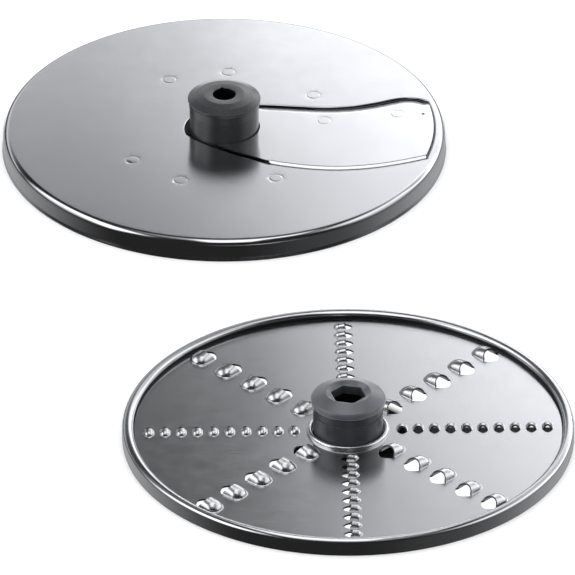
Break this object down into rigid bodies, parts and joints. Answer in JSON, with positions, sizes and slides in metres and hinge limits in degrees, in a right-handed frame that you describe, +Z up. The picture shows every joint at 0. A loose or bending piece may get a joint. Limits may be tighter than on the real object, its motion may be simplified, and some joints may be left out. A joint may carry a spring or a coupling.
{
  "type": "food processor cutting disc set",
  "caption": "Set of food-processor cutting discs: a slicing disc with a raised S-shaped blade and a grating disc with small and large formed teeth, each on a moulded drive hub.",
  "frame": {"origin": "on the surface that the discs lie on, midway between the two discs' axes", "axes": "+Z up along both discs' axes, +Y from the grating disc towards the slicing disc, +X to the right, along the slicing blade from its hub to its tip"},
  "size_m": [0.2234, 0.395, 0.0246],
  "materials": {
    "plate_steel": "fine brushed stainless steel with a polished rim",
    "blade_steel": "satin stainless blade steel with ground edges",
    "polished_steel": "polished stainless steel",
    "inner_steel": "plain rolled stainless steel",
    "hub_plastic": "moulded dark blue-grey plastic, satin",
    "seal_rubber": "matt black silicone"
  },
  "bodies": {
    "grating_disc": {"grating_plate": "plate_steel", "grating_collar": "polished_steel", "grating_hub_body": "hub_plastic", "grating_hub_cap": "hub_plastic", "grating_hex_sleeve": "inner_steel", "grating_sleeve_clip": "inner_steel", "grating_hub_clamp": "hub_plastic", "grating_hub_seal": "seal_rubber", "grating_hub_screws": "inner_steel"},
    "slicing_disc": {"slicing_plate": "plate_steel", "slicing_blade": "blade_steel", "slicing_blade_spacers": "inner_steel", "slicing_carrier": "inner_steel", "slicing_hub_tower": "hub_plastic", "slicing_hub_cap": "hub_plastic", "slicing_hub_clamp": "hub_plastic", "slicing_drive_sleeve": "inner_steel", "slicing_sleeve_clip": "inner_steel", "slicing_hub_seal": "seal_rubber", "slicing_hub_screws": "inner_steel"}
  },
  "joints": [
    {"name": "slicing_lift_off", "type": "slide", "parent": "grating_disc", "child": "slicing_disc", "axis": [0, 0, 1], "range_m": [0, 0.12]}
  ]
}
